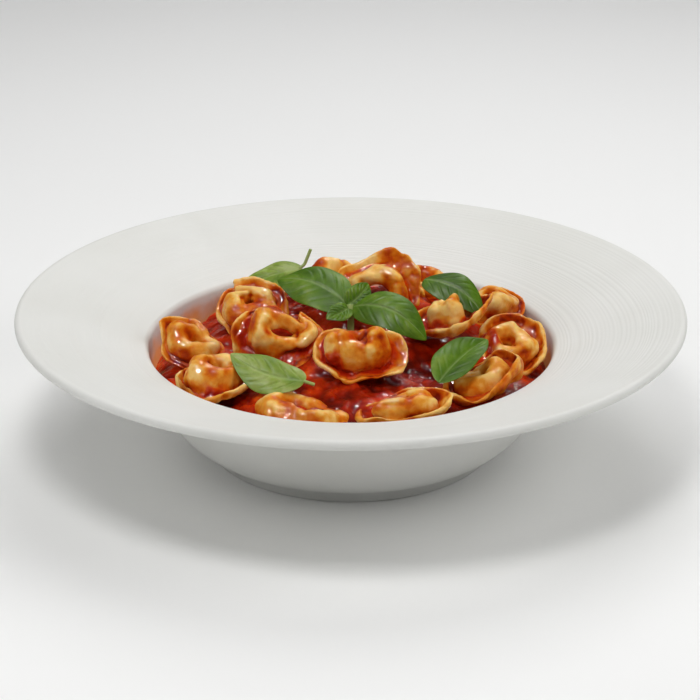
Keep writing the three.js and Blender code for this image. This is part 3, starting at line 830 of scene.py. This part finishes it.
def sauce_on(skin, p, seed):
    """How much sauce lies on the dough, from 0 to 1."""
    patchy = noise(skin.co, 6, seed + 3, 2)
    sauce = 0.4 * skin.crease + 0.5 * skin.dipped + 0.3 * patchy + 0.2 * skin.normal[:, 2] - 0.4
    sauce = sauce + skin.trough * (1.1 * p.wet + 0.2 * patchy) - 0.4 * skin.brim_edge
    for middle, reach in DABS:
        away = ((skin.co - middle) ** 2).sum(1)
        sauce = sauce + 0.9 * np.exp(-away / (2 * reach**2)) * (0.9 + 0.5 * patchy)
    return np.clip(sauce, 0, 1)


def keep_in_well(co):
    """Draws in the points that would go through the well's wall."""
    reach = well_radius_at(co[:, 2]) - WALL_GAP
    co[:, :2] *= np.minimum(1, reach / np.hypot(co[:, 0], co[:, 1]))[:, None]


def make_tortellino(name, seed, material):
    p = PIECES[name]
    points, faces, weights = pasta_tube(p, seed)
    points = crumpled(points, seed, p.crumple)
    thing = make_object("pasta_" + name, points, faces, material)
    mesh = remeshed(thing, VOXEL)
    co = points_of(mesh)
    weights = smoothed(mesh, nearest_values(co, points, weights), 6)
    co = smoothed(mesh, co, 3)
    set_points(mesh, co)
    co = smoothed(mesh, co + normals_of(mesh) * dough_folds(co, seed)[:, None], 1)
    set_points(mesh, co)
    skin = skin_of(mesh, co, p, weights)
    sauce = sauce_on(skin, p, seed)
    grain = 0.6 + 0.4 * noise(co, 1.6, seed + 30)
    film = smooth_step(0.3, 0.8, sauce) * grain * (0.6 + 0.7 * skin.trough)
    co = co + skin.normal * film[:, None]
    keep_in_well(co)
    set_points(mesh, co)
    # painted shade: this also darkens the dough in its creases
    set_attribute(mesh, "stain_and_shade", stain_and_shade_of(skin, p, seed))
    set_attribute(mesh, "sauce", sauce)
    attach(thing, "root")
    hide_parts("tortellino_" + name)


# ---------------------------------------------------------------- basil


def leaf(start, end, width, facing, arch=0, sway=0, cup=0, pale=0.35, stem=None):
    """A leaf from the foot of its midrib to its tip; facing is where its upper face looks. arch bows
    the midrib up and sway bows it sideways; cup raises the two edges."""
    return SimpleNamespace(
        start=np.array(start, float), end=np.array(end, float), width=width,
        facing=facing, arch=arch, sway=sway, cup=cup, pale=pale, stem=stem,
    )


LEAVES = {
    "basil_leaf_back": leaf(
        (-21, 38, 65), (-48, 33.5, 57.5), 14, (0, -0.45, 1), arch=1, sway=-0.5, cup=-0.1, pale=0.68,
        stem=[(-22, 38, 65), (-20, 39, 66.5), (-17.4, 40, 73)],
    ),
    "basil_leaf_right": leaf(
        (31, 12, 69.5), (55, -6, 60.5), 15, (0.1, -0.8, 1), arch=3, sway=3, cup=-0.2, pale=0.2,
    ),
    "basil_leaf_front_left": leaf(
        (-18.4, -54, 51), (-48.5, -42, 57.8), 17, (0, -0.6, 1), arch=0, sway=3, cup=-0.1, pale=0.66,
        stem=[(-18.9, -54, 51), (-14.5, -54.8, 49.8)],
    ),
    "basil_leaf_front_right": leaf(
        (35.2, -55.5, 51), (55.5, -29.5, 59), 17.5, (0.1, -0.1, 1), arch=1.5, sway=1, cup=0.25, pale=0.3,
    ),
}
SPRIG = [
    leaf((-1, -2, 63), (-31, 20, 66.5), 22, (-0.2, -0.45, 1), arch=3, sway=-3, cup=-0.15),
    leaf((1, -3, 63), (31, -22, 56), 17.5, (0, -0.9, 1), arch=6, sway=3, cup=-0.15),
    leaf((-1.5, -1.8, 63.3), (7.2, 6, 70), 10, (0.2, -0.8, 1), arch=0.5, sway=-1, cup=0.2),
    leaf((-0.5, -3, 62.8), (-10, -10, 60.2), 9.5, (0, -0.5, 1), arch=1, sway=1, cup=0.1),
]
SPRIG_STEM = [(-0.3, -2.5, 63.8), (0, -5, 59), (0, -7, 54)]
STEM_RADIUS = 0.7
SPRIG_STEM_RADIUS = 1.4
LEAF_STATIONS = 84
LEAF_ACROSS = 56
LEAF_THICKNESS = 0.55
VEINS = 5


def unit(v):
    v = np.asarray(v, float)
    return v / np.linalg.norm(v)


def vein_nearness(l, t, u, length):
    """How near each point of the leaf is to a vein: 1 on it, 0 away from all; the midrib apart."""
    half = l.width / 2
    midrib = np.exp(-((u * half / mix(0.75, 0.35, t)) ** 2))
    side = np.zeros_like(t)
    for sign in (-1, 1):
        for k in range(VEINS):
            foot = 0.05 + 0.16 * k + 0.03 * vary(int(l.width) + k, sign + 5)
            away = np.abs(u)
            line = foot + 0.26 * away**1.25 + 0.04 * away**3
            gap = (t - line) * length * 0.8
            reach = 1 - smooth_step(0.7, 0.95, away)
            side = np.maximum(side, np.exp(-((gap / 0.34) ** 2)) * reach * (np.sign(u) == sign))
    return midrib, side


def leaf_surface(l, t, u):
    """Points on the leaf's middle surface, its upward normal, and the veins there."""
    length = np.linalg.norm(l.end - l.start)
    along = (l.end - l.start) / length
    side = unit(np.cross(l.facing, along))
    up = np.cross(along, side)
    half = l.width / 2 * np.sin(math.pi * t**0.8) ** mix(0.6, 0.75, t) + 0.35
    bow = 4 * t * (1 - t)
    ripple = 0.05 * l.width * u * u * np.sin(9 * t + 2 * u + l.width)
    midrib, veins = vein_nearness(l, t, u, length)
    quilt = 0.65 * bow * np.sin(math.pi * np.clip(np.abs(u), 0, 1)) * (1 - veins) - 0.45 * midrib * bow
    rise = l.arch * bow + l.cup * half * np.abs(u) + ripple * bow + quilt
    aside = half * u + l.sway * bow
    co = l.start + (l.end - l.start) * t[..., None] + up * rise[..., None] + side * aside[..., None]
    return co, up, midrib, veins


def leaf_mesh(l):
    """Points, faces, vein and shade of a closed thin leaf."""
    stations = (1 - np.cos(np.linspace(0, math.pi, LEAF_STATIONS))) / 2
    t, u = np.meshgrid(stations, np.linspace(-1, 1, LEAF_ACROSS), indexing="ij")
    co, up, midrib, veins = leaf_surface(l, t, u)
    half = LEAF_THICKNESS / 2 * (1 - 0.6 * u * u)
    top = co + up * half[..., None]
    bottom = co - up * (half + 0.25 * midrib)[..., None]
    n, m = LEAF_ACROSS, LEAF_STATIONS * LEAF_ACROSS
    faces = [tuple(reversed(f)) for f in grid_faces(LEAF_STATIONS, n)]
    faces += grid_faces(LEAF_STATIONS, n, start=m)
    outline = [i * n for i in range(LEAF_STATIONS)]
    outline += [m - n + j for j in range(1, n)]
    outline += [i * n + n - 1 for i in range(LEAF_STATIONS - 2, -1, -1)]
    outline += list(range(n - 2, 0, -1))
    for k, a in enumerate(outline):
        b = outline[(k + 1) % len(outline)]
        faces.append((a, m + a, m + b, b))
    points = np.vstack([top.reshape(-1, 3), bottom.reshape(-1, 3)])
    vein = np.clip(midrib + 0.2 * veins, 0, 1).ravel()
    shade = l.pale + 0.12 * np.sin(5 * t + 3 * u + l.width).ravel() + 0.06 * noise(points[:m], 6, 4)
    return points, faces, np.tile(vein, 2), np.concatenate([shade, shade + 0.25])


def tube(points, radius, sides=16, steps=24):
    """A closed round tube through a few points, with flat ends."""
    curve = np.array(points, float)
    knots = np.linspace(0, len(curve) - 1, steps)
    path = np.stack([np.interp(knots, range(len(curve)), curve[:, k]) for k in range(3)], 1)
    for _ in range(6):
        path[1:-1] = (path[:-2] + 2 * path[1:-1] + path[2:]) / 4
    rings = []
    for i, centre in enumerate(path):
        along = unit(path[min(i + 1, steps - 1)] - path[max(i - 1, 0)])
        side = unit(np.cross(along, (0.3, 1, 0.2)))
        other = np.cross(along, side)
        for k in range(sides):
            a = 2 * math.pi * k / sides
            rings.append(centre + radius * (math.cos(a) * side + math.sin(a) * other))
    faces = grid_faces(steps, sides, wrap=True)
    faces.append(tuple(range(sides))[::-1])
    faces.append(tuple(range((steps - 1) * sides, steps * sides)))
    return np.array(rings), faces


def make_basil(node, leaves, stem, stem_radius, material):
    points, faces, vein, shade = [], [], [], []
    start = 0
    for l in leaves:
        co, quads, v, c = leaf_mesh(l)
        points.append(co)
        vein.append(v)
        shade.append(c)
        faces += [tuple(start + k for k in quad) for quad in quads]
        start += len(co)
    if stem:
        co, quads = tube(stem, stem_radius)
        points.append(co)
        vein.append(np.full(len(co), 1.0))
        shade.append(np.full(len(co), 0.85))
        faces += [tuple(start + k for k in quad) for quad in quads]
    thing = make_object(node.replace("basil", "fresh_basil"), np.vstack(points), faces, material)
    set_attribute(thing.data, "vein", np.concatenate(vein))
    set_attribute(thing.data, "shade", np.clip(np.concatenate(shade), 0, 1))
    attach(thing, "root")
    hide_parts(node)


# ---------------------------------------------------------------- sauce

SAUCE = SimpleNamespace(
    level=45.5, mound=13, mound_at=(6, 18), mound_width=30, wave=0.7, front_fall=5, side_fall=12,
    pool=5, pool_at=(29, -26), pool_width=9, pool_shade=0.45, pool_shade_width=14,
    spoonful=3.5, spoonful_at=(13, 33), spoonful_width=8, sink=1.6, edge_height=33, edge_width=3,
    side_tone=0.3, grid=290, gap=0.1,
)


def hill(x, y, middle, width):
    """A smooth round hill, 1 high."""
    away = (x - middle[0]) ** 2 + (y - middle[1]) ** 2
    return np.exp(-away / (2 * width**2))


def sauce_height(x, y):
    s = SAUCE
    heap = s.mound * hill(x, y, s.mound_at, s.mound_width)
    waves = s.wave * (np.sin(0.16 * x + 0.1 * y) + np.sin(0.13 * y - 0.19 * x + 2))
    front = np.clip(-y / PLATE.well_radius, 0, 1)
    fall = mix(s.side_fall, s.front_fall, np.sqrt(front))
    pool = s.pool * hill(x, y, s.pool_at, s.pool_width)
    return s.level + heap + waves - pool - fall * (np.hypot(x, y) / PLATE.well_radius) ** 4


def pulp(x, y, size, seed):
    """Domes of chopped tomato, up to 1 high, scattered one to each cell of that size."""
    cell = np.stack([np.floor(x / size), np.floor(y / size), 0 * x], 0).astype(np.int64)
    top = np.zeros_like(x)
    for i in (-1, 0, 1):
        for j in (-1, 0, 1):
            c = [cell[0] + i, cell[1] + j, cell[2]]
            cx = (c[0] + 0.5 + 0.42 * lattice(c, seed)) * size
            cy = (c[1] + 0.5 + 0.42 * lattice(c, seed + 1)) * size
            reach = size * (0.55 + 0.3 * lattice(c, seed + 2))
            stretch = 0.4 * lattice(c, seed + 3)
            turn = math.pi * lattice(c, seed + 4)
            a = (x - cx) * np.cos(turn) + (y - cy) * np.sin(turn)
            b = (y - cy) * np.cos(turn) - (x - cx) * np.sin(turn)
            away = (a * (1 + stretch)) ** 2 + (b * (1 - stretch)) ** 2
            dome = np.maximum(0, 1 - away / reach**2) ** 0.6 * (0.55 + 0.45 * lattice(c, seed + 5))
            top = np.maximum(top, dome)
    return top


def disc(count):
    """A square grid of points pressed evenly into the unit disc."""
    v = np.linspace(-1, 1, count)
    a, b = np.meshgrid(v, v, indexing="ij")
    radius = np.where(np.abs(a) > np.abs(b), a, b)
    with np.errstate(divide="ignore", invalid="ignore"):
        turn = np.where(np.abs(a) > np.abs(b), math.pi / 4 * b / a, math.pi / 2 - math.pi / 4 * a / b)
    turn = np.nan_to_num(turn)
    return (radius * np.cos(turn)).ravel(), (radius * np.sin(turn)).ravel()


def tomato_chunks(x, y, flat):
    """How far the chopped tomato stands out of the sauce."""
    bend_x = x + 0.8 * noise(flat, 5, 15)
    bend_y = y + 0.8 * noise(flat, 5, 16)
    big = 2 * np.maximum(0, pulp(bend_x, bend_y, 15, 25) - 0.3)
    lumps = 1.5 * pulp(bend_x, bend_y, 8, 21) + 0.6 * pulp(bend_x, bend_y, 4, 31)
    lumps = lumps + 0.35 * pulp(bend_x, bend_y, 2.4, 51)
    return big + lumps + 0.5 * noise(flat, 9, 11) + 0.12 * noise(flat, 2, 13)


def sauce_sides(top):
    """Points and faces of the sauce's side and bottom, which follow the well down from the edge of
    the grid of points on top."""
    s = SAUCE
    n = s.grid
    before = [*range(n), *(k * n + n - 1 for k in range(1, n))]
    before += [(n - 1) * n + j for j in range(n - 2, -1, -1)] + [k * n for k in range(n - 2, 0, -1)]
    angle = np.arctan2(top[before, 1], top[before, 0])
    rings, faces = [], []
    start = len(top)
    for radius, z in well_wall(12):
        if z >= s.edge_height - 2:
            continue
        out = radius - s.gap
        rings.append(np.stack([out * np.cos(angle), out * np.sin(angle), 0 * angle + z + s.gap], 1))
        these = list(range(start, start + len(before)))
        for k in range(len(before)):
            j = (k + 1) % len(before)
            faces.append((before[k], before[j], these[j], these[k]))
        before = these
        start += len(before)
    faces.append(tuple(before))
    return np.vstack(rings), faces


def make_sauce(material):
    s = SAUCE
    wall = np.array(well_wall(60))
    radius = np.interp(-s.edge_height, -wall[:, 1], wall[:, 0]) - s.gap
    x, y = disc(s.grid)
    x, y = x * radius, y * radius
    flat = np.stack([x, y, 0 * x], 1)
    chunks = tomato_chunks(x, y, flat)
    # a spoonful lies behind the top tortellino and closes its hole
    spoonful = s.spoonful * hill(x, y, s.spoonful_at, s.spoonful_width)
    height = sauce_height(x, y) + spoonful + chunks - s.sink + 0.05 * noise(flat, 0.9, 14)
    near_edge = smooth_step(radius - s.edge_width, radius, np.hypot(x, y))
    top = np.stack([x, y, mix(height, s.edge_height, near_edge)], 1)
    side, side_faces = sauce_sides(top)
    faces = [tuple(reversed(f)) for f in grid_faces(s.grid, s.grid)] + side_faces
    thing = make_object("sauce_surface", np.vstack([top, side]), faces, material)
    # painted shade: the sauce is darker in the pool that lies in the shadow of the tortellini
    dark = s.pool_shade * hill(x, y, s.pool_at, s.pool_shade_width)
    tone = 0.2 + 0.24 * chunks + 0.22 * noise(flat, 12, 41, 2) - dark
    tone = np.concatenate([tone, np.full(len(side), s.side_tone)])
    set_attribute(thing.data, "chunk_and_shade", np.clip(tone, 0, 1))
    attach(thing, "root")
    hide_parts("tomato_sauce")


# ---------------------------------------------------------------- floor


FLOOR_SIZE = 3000
FLOOR_GAP = 0.2


def add_floor():
    """A plain pale floor, a hair below the plate's foot so that the two faces don't coincide."""
    m = Shader("floor")
    m.link("Base Color", m.mix(m.noise(400, 2), srgb(244, 244, 243), srgb(247, 247, 246)))
    m.set(Roughness=0.9)
    s = FLOOR_SIZE
    corners = [(-s, -s, 0), (s, -s, 0), (s, s, 0), (-s, s, 0)]
    floor = make_object("floor", corners, [(0, 1, 2, 3)], m.material)
    floor.location.z = -FLOOR_GAP * MM


# ---------------------------------------------------------------- the dish

add_camera()
add_studio()
add_floor()
make_plate(glaze_material())
pasta = pasta_material()
for number, name in enumerate(PIECES, 1):
    make_tortellino(name, number, pasta)
basil = basil_material()
for node, one in LEAVES.items():
    make_basil(node, [one], one.stem, STEM_RADIUS, basil)
make_basil("basil_sprig", SPRIG, SPRIG_STEM, SPRIG_STEM_RADIUS, basil)
make_sauce(sauce_material())
